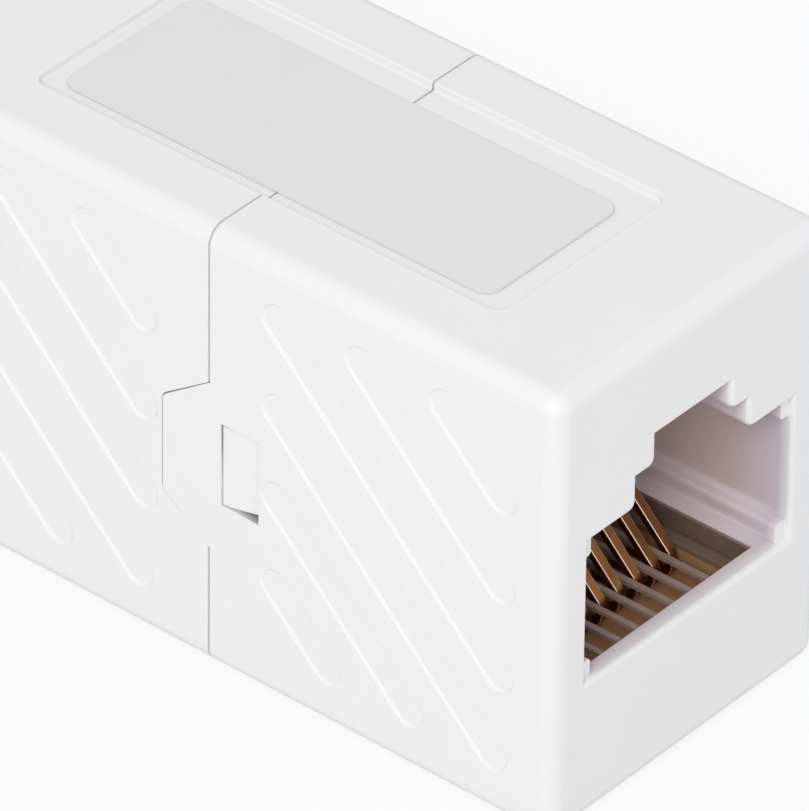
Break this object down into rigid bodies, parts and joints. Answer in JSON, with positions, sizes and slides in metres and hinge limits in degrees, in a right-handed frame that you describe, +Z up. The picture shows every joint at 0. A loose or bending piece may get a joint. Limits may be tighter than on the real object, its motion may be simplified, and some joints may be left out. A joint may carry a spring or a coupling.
{
  "type": "rj45 inline coupler",
  "caption": "Straight-through inline coupler for modular network plugs: a white snap-together case with a keyed socket at each end, grip grooves and a blank label recess.",
  "frame": {"origin": "middle of the base, under the seam between the two halves", "axes": "+X along the coupler, out of the front socket; +Z up, the side with the label and the latch slots; +Y across"},
  "size_m": [0.0332, 0.0156, 0.0199],
  "materials": {
    "white_plastic": "fine satin moulded white",
    "label_film": "blank pale grey film",
    "block_plastic": "plain moulded, in shade",
    "board": "green solder mask on glass fibre",
    "contact_gold": "gold plated spring wire"
  },
  "bodies": {
    "root": {"front_shell": "white_plastic", "rear_shell": "white_plastic", "label": "label_film", "front_contact_block": "block_plastic", "rear_contact_block": "block_plastic", "circuit_board": "board", "front_contact_1": "contact_gold", "front_contact_2": "contact_gold", "front_contact_3": "contact_gold", "front_contact_4": "contact_gold", "front_contact_5": "contact_gold", "front_contact_6": "contact_gold", "front_contact_7": "contact_gold", "front_contact_8": "contact_gold", "rear_contact_1": "contact_gold", "rear_contact_2": "contact_gold", "rear_contact_3": "contact_gold", "rear_contact_4": "contact_gold", "rear_contact_5": "contact_gold", "rear_contact_6": "contact_gold", "rear_contact_7": "contact_gold", "rear_contact_8": "contact_gold"}
  },
  "joints": []
}
